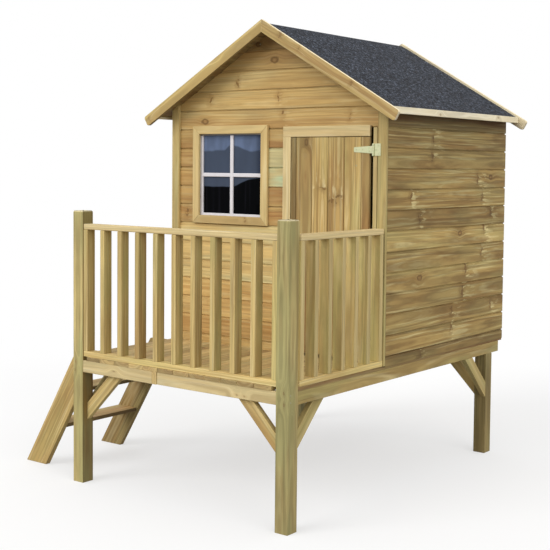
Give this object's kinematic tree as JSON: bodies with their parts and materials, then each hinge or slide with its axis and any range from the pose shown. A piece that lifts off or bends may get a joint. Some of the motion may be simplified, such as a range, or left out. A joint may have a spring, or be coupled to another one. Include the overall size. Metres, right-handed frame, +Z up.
{
  "type": "playhouse",
  "caption": "Boarded garden playhouse with a gabled felt roof, raised on posts, with a railed porch, a side ladder, a small window and a hinged plank door.",
  "frame": {"origin": "on the ground, under the middle of the outer box", "axes": "+Z up; -Y is the front, with the porch, door and window; +X is the door's side and -X is the ladder's side"},
  "size_m": [1.9346, 1.962, 2.2719],
  "materials": {
    "pine": "planed and pressure treated, matte",
    "side_pine": "planed and pressure treated, matte",
    "green_pine": "pressure treated, greenish, matte",
    "pale_pine": "planed and pressure treated, pale, matte",
    "white_paint": "white paint, satin",
    "zinc": "zinc plated, satin",
    "felt": "mineral roofing felt, rough",
    "glass": "clear sheet over a dark inside"
  },
  "bodies": {
    "playhouse": {"post_front_left": "green_pine", "post_front_right": "green_pine", "post_rear_left": "green_pine", "post_rear_right": "green_pine", "front_beam_left": "pale_pine", "front_beam_right": "pale_pine", "rear_beam": "green_pine", "side_beam_left": "green_pine", "side_beam_right": "green_pine", "deck": "pine", "brace_front_left": "pine", "brace_front_right": "pine", "brace_rear_left": "pine", "brace_rear_right": "pine", "brace_side_front_left": "green_pine", "brace_side_front_right": "green_pine", "brace_side_rear_left": "green_pine", "brace_side_rear_right": "green_pine", "front_balusters": "pine", "front_top_rail": "pale_pine", "side_balusters": "pine", "side_top_rail": "pale_pine", "ladder_stringer_front": "green_pine", "ladder_stringer_rear": "green_pine", "ladder_tread_1": "pine", "ladder_tread_2": "pine", "wall_front": "pine", "wall_rear": "pine", "wall_left": "side_pine", "wall_right": "side_pine", "stud_front_left": "pine", "stud_front_right": "pine", "stud_rear_left": "pine", "stud_rear_right": "pine", "wall_plate_left": "pine", "wall_plate_right": "pine", "ridge_beam": "pine", "door_stud": "pine", "corner_board_left": "pine", "corner_board_right": "pine", "door_jamb_strip": "green_pine", "door_side_trim": "pale_pine", "door_head_trim": "pale_pine", "window_trim": "pale_pine", "window_sash": "white_paint", "window_pane": "glass", "hinge_plate_lower": "zinc", "hinge_plate_upper": "zinc", "roof_felt": "felt", "roof_boards_left": "pine", "roof_boards_right": "pine", "eave_fascia_left": "pale_pine", "eave_fascia_right": "pale_pine", "barge_front_left": "pale_pine", "barge_front_right": "pale_pine", "barge_rear_left": "pale_pine", "barge_rear_right": "pale_pine"},
    "door": {"door_leaf": "pine", "hinge_strap_lower": "zinc", "hinge_strap_upper": "zinc"}
  },
  "joints": [
    {"name": "door_hinge", "type": "hinge", "parent": "playhouse", "child": "door", "pos_m": [0.78011, -0.2703, 1.164], "axis": [0, 0, 1], "range_deg": [0, 90]}
  ]
}
